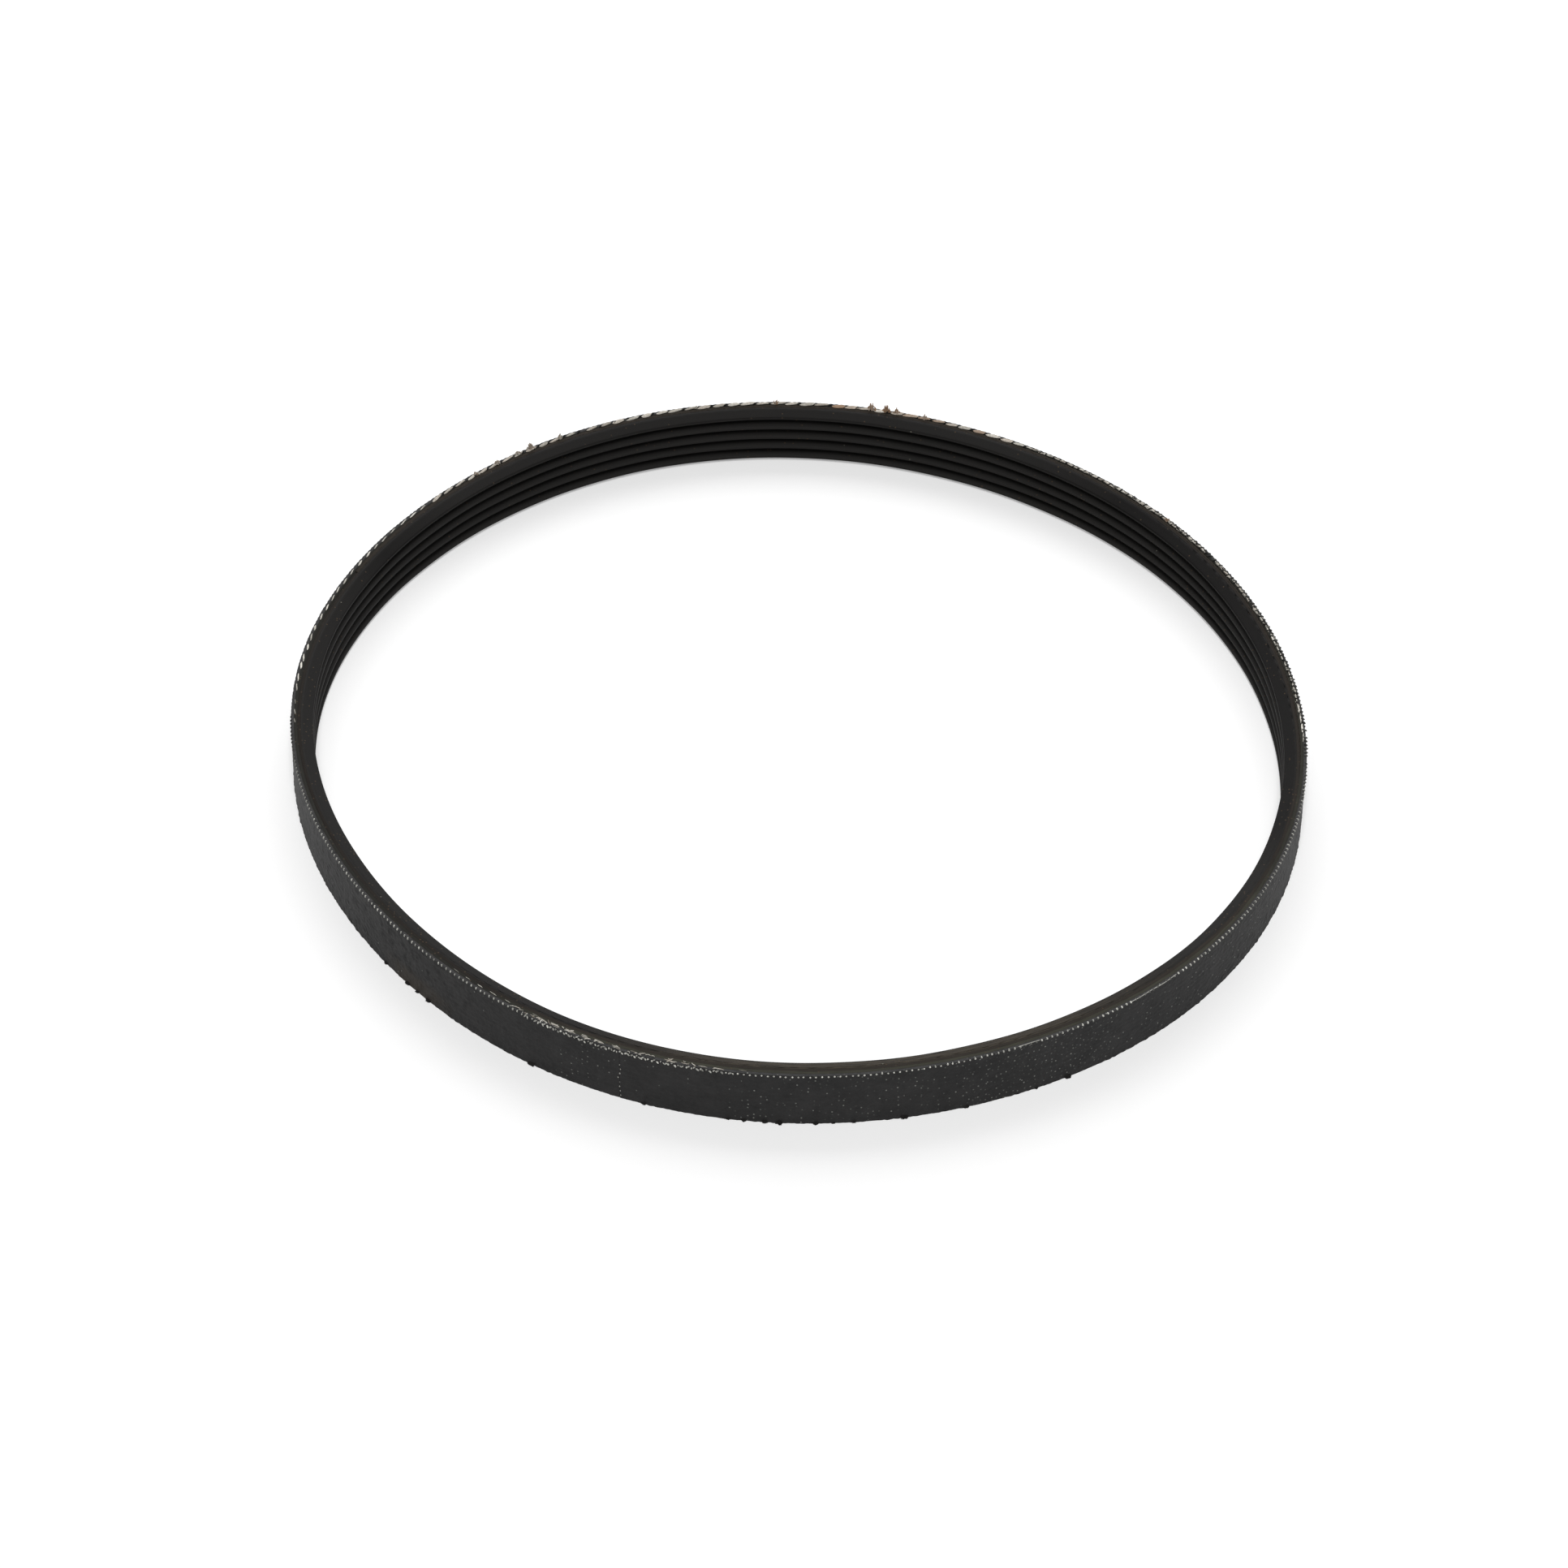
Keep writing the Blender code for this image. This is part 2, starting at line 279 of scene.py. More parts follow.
# Dust on the top rib's flank, partly painted sheen: it lies only along the front of the loop
dust_and_sheen_patch = add_node(tree, "TexNoise", {"Vector": dragged.outputs[0], "Scale": 1.0,
                                         "Detail": 5.0, "Roughness": 0.65})
dust_and_sheen_share = add_node(tree, "MapRange", {"Value": dust_and_sheen_patch.outputs["Fac"],
                                         "From Min": 0.3, "From Max": 0.75})
flank_dust_and_sheen = add_node(tree, "Attribute", attribute_name="dust_and_sheen").outputs["Fac"]
dust_and_sheen = add_node(tree, "Math", {0: flank_dust_and_sheen, 1: dust_and_sheen_share.outputs[0]}, operation="MULTIPLY")
dusted_and_sheened = add_node(tree, "Mix", {"Factor": dust_and_sheen.outputs[0], 6: chalked_and_shaded.outputs[2], 7: linear("#4d463c")},
                  data_type="RGBA")
# Painted shade in the nicks that the knife tore at the upper groove's corner
painted_nick_shade = add_node(tree, "Attribute", attribute_name="nick_shade").outputs["Fac"]
nick_shaded = add_node(tree, "Mix", {"Factor": painted_nick_shade, 6: dusted_and_sheened.outputs[2], 7: linear("#050505")},
                  data_type="RGBA")
lint_cells = add_node(tree, "TexVoronoi", {"Vector": place, "Scale": 1 / (2.6 * MM)})
lint_near = add_node(tree, "Math", {0: lint_cells.outputs["Distance"], 1: 0.06}, operation="LESS_THAN")
lint_draw = add_node(tree, "SeparateXYZ", {0: lint_cells.outputs["Color"]})
lint_pick = add_node(tree, "Math", {0: lint_draw.outputs[0], 1: 0.9}, operation="GREATER_THAN")
lint = add_node(tree, "Math", {0: lint_near.outputs[0], 1: lint_pick.outputs[0]}, operation="MULTIPLY")
specked = add_node(tree, "Mix", {"Factor": lint.outputs[0], 6: flecked(tree, nick_shaded.outputs[2]),
                                 7: linear("#66645c")}, data_type="RGBA")
grain = add_node(tree, "TexNoise", {"Vector": place, "Scale": 1 / (0.22 * MM), "Detail": 3.0})
relief = add_node(tree, "Bump", {"Height": grain.outputs["Fac"], "Distance": 0.03 * MM, "Strength": 0.5})
tree.links.new(specked.outputs[2], surface.inputs["Base Color"])
tree.links.new(relief.outputs[0], surface.inputs["Normal"])


def nicks(run, degrees):
    """How deep the knife has torn the upper groove's corner, from 0 to 1, along the belt."""
    torn_most = np.maximum(0.55 * within(degrees, -8, 44, 14), 0.25 * within(degrees, 222, 318, 12))
    return np.clip(2.2 * waver(run, 31, 2.6, 0.5) + 0.15, 0, 1) * (0.1 + 0.9 * torn_most)


outline = rib_outline()
runs = np.linspace(0.0, LOOP_RUN, RIB_STATIONS + 1)
depths = np.broadcast_to(outline[:, 0], (len(runs), len(outline))).copy()
heights = np.broadcast_to(outline[:, 1], depths.shape).copy()
inward = (outline[:, 0] - RIB_BACK_DEPTH) / (TIP_DEPTH - RIB_BACK_DEPTH)
for index in range(RIB_COUNT):
    on_rib = np.abs(outline[:, 1] - ((index + 0.5) * RIB_PITCH - EDGE_TRIM)) <= RIB_PITCH / 2
    depths += waver(runs, 10 + index, 38.0, GRINDING_WAVER)[:, None] * (on_rib * inward)
    heights += waver(runs, 20 + index, 30.0, GRINDING_WAVER)[:, None] * (on_rib * inward)
cut_points = np.flatnonzero(outline[:, 1] == BELT_WIDTH)
torn_away = NICK_DEPTH * nicks(runs, np.degrees(angle_at(runs)))[:, None]
heights[:, cut_points[1:4]] -= torn_away * (0.7, 1.0, 0.5)
rows = on_belt(angle_at(runs)[:, None], depths, heights)
ribbed_rubber = make_piece("ribbed_rubber", *loft(rows, runs, outline_length(outline)), rubber)
degrees, run, depth, height = places_of(ribbed_rubber)
top_flank = np.clip((height - BELT_WIDTH + TOP_FLANK_HEIGHT) / 0.3, 0, 1)
# Dust and painted sheen: brown-grey on the top flank along the front of the loop
front_dust_and_sheen = within(degrees, 246, 318, 20)
paint(ribbed_rubber, "dust_and_sheen", top_flank * front_dust_and_sheen * np.clip((DUST_AND_SHEEN_DEPTH - depth) / 0.3, 0, 1))
# On the top rib the chalk is painted shade and light: the flank is darkest on the right and at the front,
# darker on the left than at the back, and the cut face is lighter all round but at the back
flank_painted_shading = (0.5 * within(degrees, 48, 150, 14) + 0.3 * within(degrees, 150, 250, 12)
               + 0.45 * within(degrees, 310, 344, 10))
cut_painted_shading = 0.35 * (1 - within(degrees, 18, 150, 20)) * (depth < CUT_FACE_DEPTH)
on_top_flank = height > BELT_WIDTH - TOP_FLANK_HEIGHT
paint(ribbed_rubber, "chalk_and_shade", np.where(on_top_flank, flank_painted_shading + cut_painted_shading, 1.0))
# Painted shade in the torn nicks along the upper groove
at_groove = (np.abs(depth - ROOT_DEPTH) < 0.11) & (height > BELT_WIDTH - 0.5)
paint(ribbed_rubber, "nick_shade", nicks(run, degrees) * at_groove)
paint_flecks(ribbed_rubber)
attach(ribbed_rubber, "root")
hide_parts("rib_rubber")

# Undercord gum: a soft rubber ply calendered onto the cord from inside, moulded half round each turn.
# Only its knife-cut edges show, as a dark brown line beside the ribbed rubber.

CORD_DEPTH = 1.125
CORD_DIAMETER = 0.75
CORD_SPACING = 1.3
CORD_START = math.radians(202.5)
BOND_GAP = 0.02
GUM_BACK_DEPTH = 0.52
GUM_FACE_DEPTH = 1.73
GUM_STATIONS = 360


def gum_rows(side, flat_depth):
    """Outlines of one gum ply round the loop, with a half-round channel for each turn of the cord."""
    face = BOND_GAP / 2
    channel = CORD_DIAMETER / 2 + BOND_GAP
    tilts = np.radians(np.linspace(-72.0, 72.0, 5))
    into = np.concatenate([[face], channel * np.cos(tilts), [face]])
    up = np.concatenate([[-channel], channel * np.sin(tilts), [channel]])
    turns = np.arange(-2, math.ceil(BELT_WIDTH / CORD_SPACING) + 2)
    shares = np.linspace(0.0, 1.0, GUM_STATIONS + 1)
    rows = []
    for share in shares:
        heights = ((turns[:, None] + share) * CORD_SPACING + up).ravel()
        kept = np.clip(heights, 0.0, BELT_WIDTH)
        depths = np.interp(kept, heights, np.tile(CORD_DEPTH + side * into, len(turns)))
        section = np.vstack([np.stack([depths, kept], 1), [flat_depth, BELT_WIDTH], [flat_depth, 0.0]])
        rows.append(on_belt(CORD_START + math.tau * share, section[:, 0], section[:, 1]))
    thickness = abs(flat_depth - CORD_DEPTH)
    across = np.concatenate([np.linspace(0.0, BELT_WIDTH, len(rows[0]) - 2), BELT_WIDTH + np.array(
        [thickness, BELT_WIDTH + thickness, BELT_WIDTH + 2 * thickness])])
    return np.array(rows), shares * LOOP_RUN, across


def cut_gum(name, dark, light, lit_colour):
    """Gum rubber with a knife-cut face: dull, smeared along the cut, and paler where light is painted on.
    """
    material, tree, surface = start_material(name, 0.7, 1.18)
    gum_map = add_node(tree, "UVMap", uv_map="belt").outputs[0]
    drawn = add_node(tree, "VectorMath", {0: gum_map, 1: (1 / 4.0, 1 / 0.5, 0.0)}, operation="MULTIPLY")
    smear = add_node(tree, "TexNoise", {"Vector": drawn.outputs[0], "Scale": 1.0,
                                        "Detail": 4.0, "Roughness": 0.6}).outputs["Fac"]
    plain = add_node(tree, "Mix", {"Factor": smear, 6: linear(dark), 7: linear(light)}, data_type="RGBA")
    # Painted light: the cut face is paler along the front of the loop
    share = add_node(tree, "Attribute", attribute_name="painted_front_light").outputs["Fac"]
    painted_front_light = add_node(tree, "Math", {0: share, 1: smear}, operation="MULTIPLY")
    colour = add_node(tree, "Mix", {"Factor": painted_front_light.outputs[0], 6: plain.outputs[2], 7: linear(lit_colour)},
                      data_type="RGBA")
    relief = add_node(tree, "Bump", {"Height": smear, "Distance": 0.05 * MM, "Strength": 0.6})
    tree.links.new(flecked(tree, colour.outputs[2]), surface.inputs["Base Color"])
    tree.links.new(relief.outputs[0], surface.inputs["Normal"])
    return material


def paint_front_light(piece):
    """Painted light on a gum ply's cut: full along the front of the loop, weaker on the right, next to none
    elsewhere.
    """
    degrees = places_of(piece)[0]
    front = within(degrees, 232, 342, 14)
    right = 0.1 + 0.35 * within(degrees, 325, 380, 14)
    paint(piece, "painted_front_light", np.maximum(front, right))


# Brown gum: nearly black, and a dusty brown where light is painted on along the front of the loop.
gum_brown = cut_gum("cut_brown_gum_rubber", "#12100e", "#241f1b", "#37322c")
undercord = make_piece("undercord_cushion", *loft(*gum_rows(1, GUM_FACE_DEPTH)), gum_brown)
paint_front_light(undercord)
paint_flecks(undercord)
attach(undercord, "root")
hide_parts("undercord_gum")

# Tension cord: polyester, three strands twisted together and dipped, wound round the belt as one helix.
# The slitting knife cuts its first and last turns lengthwise, so they lie open in the two edges.

CORD_LAY = 8.7
STRAND_COUNT = 3
CORD_CORNERS = 12
CORD_STEP = 1.1
CORD_RECESS = 0.03
CORD_END_DIP = 0.2

# Dipped polyester cord, smeared dark by the knife: tan strands with rubber between them.
dipped_cord, tree, surface = start_material("dipped_polyester_cord", 0.85, 1.25)
cord_map = add_node(tree, "UVMap", uv_map="belt").outputs[0]
fibres = add_node(tree, "TexNoise", {"Vector": cord_map, "Scale": 1 / 0.5, "Detail": 4.0})
tan = add_node(tree, "Mix", {"Factor": fibres.outputs["Fac"], 6: linear("#15120f"), 7: linear("#332d26")},
               data_type="RGBA")
tree.links.new(tan.outputs[2], surface.inputs["Base Color"])

first_run, last_run = np.array([-CORD_END_DIP, BELT_WIDTH + CORD_END_DIP]) / CORD_SPACING * LOOP_RUN
cord_runs = np.arange(first_run, last_run, CORD_STEP)
corner_turn = math.tau * np.arange(CORD_CORNERS) / CORD_CORNERS
strand_radius = CORD_DIAMETER / 2 * (0.9 + 0.1 * np.cos(STRAND_COUNT * corner_turn))
spin = math.tau * cord_runs[:, None] / CORD_LAY + corner_turn
depths = CORD_DEPTH + strand_radius * np.cos(spin)
heights = CORD_SPACING * cord_runs[:, None] / LOOP_RUN + strand_radius * np.sin(spin)
heights = np.clip(heights, CORD_RECESS, BELT_WIDTH - CORD_RECESS)
rows = on_belt(math.tau * cord_runs[:, None] / LOOP_RUN + CORD_START, depths, heights)
across = np.linspace(0.0, math.pi * CORD_DIAMETER, CORD_CORNERS + 1)
wound_cord = make_piece("wound_cord", *loft(rows, cord_runs, across, capped=True), dipped_cord)
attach(wound_cord, "root")
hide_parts("tension_cord")

# Overcord gum: the same soft rubber ply outside the cord, which bonds the backing cloth.
# Its knife-cut edge is the grey line that runs just inside the cloth's yarn ends.

# Grey gum: nearly black, and olive grey where light is painted on along the front of the loop.
gum_grey = cut_gum("cut_grey_gum_rubber", "#141412", "#22211d", "#47463c")
overcord = make_piece("overcord_cushion", *loft(*gum_rows(-1, GUM_BACK_DEPTH)), gum_grey)
paint_front_light(overcord)
paint_flecks(overcord)
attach(overcord, "root")
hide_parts("overcord_gum")

# Backing cloth: plain-woven polyester and cotton, rubbed full of black rubber, wrapped once round the
# outside with its ends meeting in a butt seam. The weave stands up through the rubber as low pimples.

CLOTH_THICKNESS = 0.5
YARN_COUNT = 567
YARN_PITCH = LOOP_RUN / YARN_COUNT
STEPS_PER_YARN = 4
WEAVE_RELIEF = 0.08
SEAM_ANGLE = 251.4
SEAM_RUN = run_at(SEAM_ANGLE)
SEAM_GAP = 0.06
FACE_POINTS = 45
LOWER_RIM = 0.6
UPPER_RIM = 0.25
RIM_SCALLOP = 0.03
RIM_WAVER = 0.07
RIM_BEAD = 0.06
SPECK_STRAY = 0.85
SOIL_HEIGHT = 4.5

# Rubbered cloth: mottled sooty black and dull, with painted shade in pits on the left and right, with pale
# specks where yarn crowns have rubbed bare, mostly along the worn stretches, and some brown soil.
cloth_black, tree, surface = start_material("rubbered_woven_cloth", 0.62, 1.25)
place = add_node(tree, "TexCoord").outputs["Object"]
cloth_map = add_node(tree, "UVMap", uv_map="belt").outputs[0]
in_yarns = add_node(tree, "VectorMath", {0: cloth_map, 1: (1 / YARN_PITCH, 1 / YARN_PITCH, 0.0)},
                    operation="MULTIPLY").outputs[0]
crossing = add_node(tree, "VectorMath", {0: in_yarns, 1: (0.5, 0.5, 0.0)}, operation="ADD")
crossing_number = add_node(tree, "VectorMath", {0: crossing.outputs[0]}, operation="FLOOR").outputs[0]
draw_one = add_node(tree, "TexWhiteNoise", {"Vector": crossing_number}, noise_dimensions="2D")
off_middle = add_node(tree, "VectorMath", {0: in_yarns, 1: crossing_number}, operation="SUBTRACT")
astray = add_node(tree, "VectorMath", {0: draw_one.outputs["Color"], 1: (0.5, 0.5, 0.5)},
                  operation="SUBTRACT")
speck_place = add_node(tree, "VectorMath", {0: astray.outputs[0], 1: (-SPECK_STRAY, -SPECK_STRAY, 0.0),
                                            2: off_middle.outputs[0]}, operation="MULTIPLY_ADD")
speck_reach = add_node(tree, "VectorMath", {0: speck_place.outputs[0]}, operation="LENGTH")
speck_round = add_node(tree, "MapRange", {"Value": speck_reach.outputs["Value"],
                                          "From Min": 0.17, "From Max": 0.09})
worn = add_node(tree, "Attribute", attribute_name="wear").outputs["Fac"]
speck_pick = add_node(tree, "Math", {0: draw_one.outputs["Value"], 1: worn}, operation="LESS_THAN")
speck = add_node(tree, "Math", {0: speck_round.outputs[0], 1: speck_pick.outputs[0]}, operation="MULTIPLY")
draw_parts = add_node(tree, "SeparateXYZ", {0: draw_one.outputs["Color"]})
speck_bright = add_node(tree, "Math", {0: draw_parts.outputs[2], 1: 2.5}, operation="POWER")
speck_colour = add_node(tree, "Mix", {"Factor": speck_bright.outputs[0], 6: linear("#3e3f3d"),
                                      7: linear("#8a8b86")}, data_type="RGBA")
mottle = add_node(tree, "TexNoise", {"Vector": place, "Scale": 1 / (6.0 * MM),
                                     "Detail": 6.0, "Roughness": 0.75})
sooty = add_node(tree, "Mix", {"Factor": mottle.outputs["Fac"], 6: linear("#0f1010"), 7: linear("#3c3b3b")},
                 data_type="RGBA")
pit_patch = add_node(tree, "TexNoise", {"Vector": place, "Scale": 1 / (1.7 * MM), "Detail": 3.0})
pit_share = add_node(tree, "MapRange", {"Value": pit_patch.outputs["Fac"],
                                        "From Min": 0.5, "From Max": 0.68})
# Painted shade in pits of the cloth, as dark spots
pit_shade_most = add_node(tree, "Attribute", attribute_name="pit_shaded").outputs["Fac"]
pit_shade = add_node(tree, "Math", {0: pit_shade_most, 1: pit_share.outputs[0]}, operation="MULTIPLY")
pit_shaded = add_node(tree, "Mix", {"Factor": pit_shade.outputs[0], 6: sooty.outputs[2], 7: linear("#080808")},
                  data_type="RGBA")
soil_patch = add_node(tree, "TexNoise", {"Vector": place, "Scale": 1 / (1.5 * MM), "Detail": 4.0})
soiled_most = add_node(tree, "Attribute", attribute_name="soil").outputs["Fac"]
soil = add_node(tree, "Math", {0: soiled_most, 1: soil_patch.outputs["Fac"]}, operation="MULTIPLY")
soiled = add_node(tree, "Mix", {"Factor": soil.outputs[0], 6: pit_shaded.outputs[2], 7: linear("#3a332b")},
                  data_type="RGBA")
pale = add_node(tree, "Mix", {"Factor": speck.outputs[0], 6: soiled.outputs[2], 7: speck_colour.outputs[2]},
                data_type="RGBA")
grain = add_node(tree, "TexNoise", {"Vector": place, "Scale": 1 / (0.8 * MM), "Detail": 4.0})
relief = add_node(tree, "Bump", {"Height": grain.outputs["Fac"], "Distance": 0.18 * MM, "Strength": 0.8})
tree.links.new(pale.outputs[2], surface.inputs["Base Color"])
tree.links.new(relief.outputs[0], surface.inputs["Normal"])

runs = SEAM_RUN + np.linspace(SEAM_GAP / 2, LOOP_RUN - SEAM_GAP / 2, YARN_COUNT * STEPS_PER_YARN + 1)
face_heights = np.linspace(0.0, BELT_WIDTH, FACE_POINTS)
draw = np.random.default_rng(5)
yarn_of_run = np.rint(runs / YARN_PITCH).astype(int) % YARN_COUNT
yarn_of_height = np.rint(face_heights / YARN_PITCH).astype(int)
crown = draw.random((YARN_COUNT, yarn_of_height.max() + 1))[np.ix_(yarn_of_run, yarn_of_height)] ** 1.5
weft = np.abs(np.cos(math.pi * runs / YARN_PITCH))[:, None]
warp = np.abs(np.cos(math.pi * face_heights / YARN_PITCH))
lower_rim = np.exp(-(face_heights / LOWER_RIM) ** 2)
upper_rim = np.exp(-((BELT_WIDTH - face_heights) / UPPER_RIM) ** 2)
scallop = RIM_SCALLOP * draw.uniform(0.0, 1.0, YARN_COUNT)[yarn_of_run][:, None] * weft
ragged = np.abs(waver(runs, 42, 3.5, RIM_WAVER))[:, None]
between_yarns = 1 - weft ** 2
face_depths = (-WEAVE_RELIEF * crown * (weft * warp) ** 0.8 - (scallop + ragged) * lower_rim
               - RIM_BEAD * between_yarns * upper_rim)
face_tops = face_heights + RIM_BEAD * between_yarns * upper_rim
inner = np.array([[CLOTH_THICKNESS / 2, BELT_WIDTH], [CLOTH_THICKNESS, BELT_WIDTH],
                  [CLOTH_THICKNESS, BELT_WIDTH / 2], [CLOTH_THICKNESS, 0.0], [CLOTH_THICKNESS / 2, 0.0]])
depths = np.hstack([face_depths, np.broadcast_to(inner[:, 0], (len(runs), len(inner)))])
heights = np.hstack([face_tops, np.broadcast_to(inner[:, 1], (len(runs), len(inner)))])
rows = on_belt(angle_at(runs)[:, None], depths, heights)
# Distances round the inner side of the cloth, for its map
inner_way = np.array([0.25, 0.5, 6.2, 11.8, 12.1, 12.4])
across = np.concatenate([face_heights, BELT_WIDTH + inner_way])
woven_back = make_piece("woven_back", *loft(rows, runs, across, capped=True), cloth_black)

# Worn stretches of the back, as from and to degrees and the share of yarn crowns that have rubbed bare
WORN = [(243.0, 252.0, 0.35), (262.0, 289.0, 0.35), (286.0, 308.0, 0.85), (306.0, 335.0, 0.3)]
degrees, _, depth, height = places_of(woven_back)
on_back = depth < CLOTH_THICKNESS / 2
wear = 0.04 + np.max([within(degrees, start, end) * share for start, end, share in WORN], axis=0)
paint(woven_back, "wear", wear * on_back)
# Painted shade in pits: most on the left, some on the right
paint(woven_back, "pit_shaded", 0.2 + 0.75 * within(degrees, 184, 236, 12) + 0.4 * within(degrees, 318, 352, 8))
paint(woven_back, "soil", within(degrees, 217, 230, 4) * np.clip((SOIL_HEIGHT - height) / 2.0, 0, 1))
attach(woven_back, "root")
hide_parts("backing_cloth")

# Cut yarn ends: where the knife crossed the cloth, each cross yarn ends in a little bare brush of fibres
# that stands out of the corner of the edge, and so do the long yarns along the butt seam.

LOWER_END_SIZE = np.array([0.38, 0.4, 0.44])
LOWER_END_DEPTH = 0.27
SEAM_END_SIZE = np.array([0.24, 0.2, 0.36])
SEAM_END_COUNT = 8
PEG_OUTWARD = 0.85
PEG_FALL = 0.4
THREAD_RADIUS = 0.06
THREAD_STEPS = 40

# Undyed yarn, bare at the cut: dull off-white, greyed by rubber dust, each end a little different, and
# black where rubber has been smeared over it.
bare_yarn, tree, surface = start_material("bare_cotton_yarn", 0.9, 1.3)
place = add_node(tree, "TexCoord").outputs["Object"]
tone = add_node(tree, "Attribute", attribute_name="tone").outputs["Fac"]
fibres = add_node(tree, "TexNoise", {"Vector": place, "Scale": 1 / (0.25 * MM), "Detail": 2.0})
lightness = add_node(tree, "Math", {0: tone, 1: fibres.outputs["Fac"]}, operation="MULTIPLY")
off_white = add_node(tree, "Mix", {"Factor": lightness.outputs[0], 6: linear("#1d1d1c"),
                                   7: linear("#f4f3ea")}, data_type="RGBA")
tree.links.new(off_white.outputs[2], surface.inputs["Base Color"])


def round_block(cuts):
    """Points and faces of a ball made from a cube with its faces cut into squares."""
    ball = bmesh.new()
    bmesh.ops.create_cube(ball, size=2.0)
    bmesh.ops.subdivide_edges(ball, edges=ball.edges[:], cuts=cuts, use_grid_fill=True)
    points = np.array([vertex.co.normalized() for vertex in ball.verts])
    faces = [[vertex.index for vertex in face.verts] for face in ball.faces]
    ball.free()
    return points, faces


def scattered(name, bodies, material):
    """One object from many small solids; each is its (run, depth, height) points, faces, tone and stain."""
    points, faces, tones, stains = [], [], [], []
    count = 0
    for body, body_faces, tone, stain in bodies:
        points.append(on_belt(angle_at(body[:, 0]), body[:, 1], body[:, 2]))
        faces += [[count + index for index in face] for face in body_faces]
        tones.append(np.full(len(body), tone))
        stains.append(np.full(len(body), stain))
        count += len(body)
    piece = make_piece(name, np.concatenate(points), faces, None, material)
    paint(piece, "tone", np.concatenate(tones))
    paint(piece, "stain", np.concatenate(stains))
    return piece


def fibre(path, half_width, half_height, sides=6):
    """Points and faces of a tube with an oval section along a path of (run, depth, height) points."""
    along = np.gradient(path, axis=0)
    along /= np.linalg.norm(along, axis=1)[:, None]
    upright = np.eye(3)[2 if np.abs(along[:, 2]).mean() < 0.7 else 0]
    side = np.cross(along, upright)
    side /= np.linalg.norm(side, axis=1)[:, None]
    top = np.cross(side, along)
    turn = math.tau * np.arange(sides) / sides
    points = (path[:, None] + (half_width[:, None] * np.cos(turn))[..., None] * side[:, None]
              + (half_height[:, None] * np.sin(turn))[..., None] * top[:, None])
    faces = loft(points, np.zeros(len(path)), np.zeros(sides + 1), capped=True)[1]
    return points.reshape(-1, 3), faces


def corner_peg(run, down, reach, thick, lean):
    """Points and faces of a short round-ended peg that lies slantwise over the upper corner of the back."""
    share = np.linspace(-1.0, 1.0, 7)
    depth = 0.06 - 0.1 * min(down / 0.3, 1.0) - PEG_OUTWARD * reach * share
    path = np.stack([run + lean * share, depth, BELT_WIDTH - 0.01 - down - PEG_FALL * reach * share], 1)
    half = thick / 2 * np.array([0.45, 0.8, 1.0, 1.0, 1.0, 0.8, 0.45])
    return fibre(path, half, half)


def corner_rung(run, inner, outer, thick, lean):
    """Points and faces of a short peg that is bent over the upper corner, from the cut onto the back."""
    past_corner = np.linspace(-inner, outer, 9)
    rounding = 0.05
    on_cut, on_back = (rounding * np.logaddexp(0.0, way * past_corner / rounding) for way in (-1, 1))
    path = np.stack([run + lean * past_corner / outer, on_cut - 0.05, BELT_WIDTH + 0.04 - on_back], 1)
    half = thick / 2 * np.array([0.5, 0.85, 1.0, 1.0, 1.0, 1.0, 1.0, 0.85, 0.5])
    return fibre(path, half, half)


# Yarn ends of the upper edge, as degrees, how far they have slipped down the back, half length, thickness
# and tone
YARN_ENDS = np.array([(184, 0.16, 0.44, 0.30, 0.55), (208, 0.16, 0.44, 0.30, 0.9),
                      (217, 0.13, 0.40, 0.30, 1.0), (239, 0.12, 0.32, 0.30, 0.95),
                      (245, 0.32, 0.14, 0.32, 1.15), (252, 0.42, 0.14, 0.32, 1.15),
                      (257, 0.36, 0.14, 0.32, 1.15), (271, 0.28, 0.16, 0.36, 1.25),
                      (276, 0.20, 0.18, 0.36, 1.4), (284, 0.16, 0.19, 0.36, 1.3),
                      (299, 0.10, 0.20, 0.38, 1.1), (308, 0.02, 0.20, 0.38, 1.25),
                      (318, 0.06, 0.22, 0.40, 1.1), (328, 0.12, 0.26, 0.40, 0.7),
                      (352, 0.12, 0.26, 0.40, 0.7)])
# Stretches of that edge, as from and to degrees: yarn that is bare, ends that are bent over the corner,
# that lie in a jumble, that lie slantwise over the corner, and that are black with rubber
BARE = (186, 354)
BENT = (181, 239)
JUMBLED = (239, 265)
SLANTED = (239, 354)
BLACKENED = (340, 412)
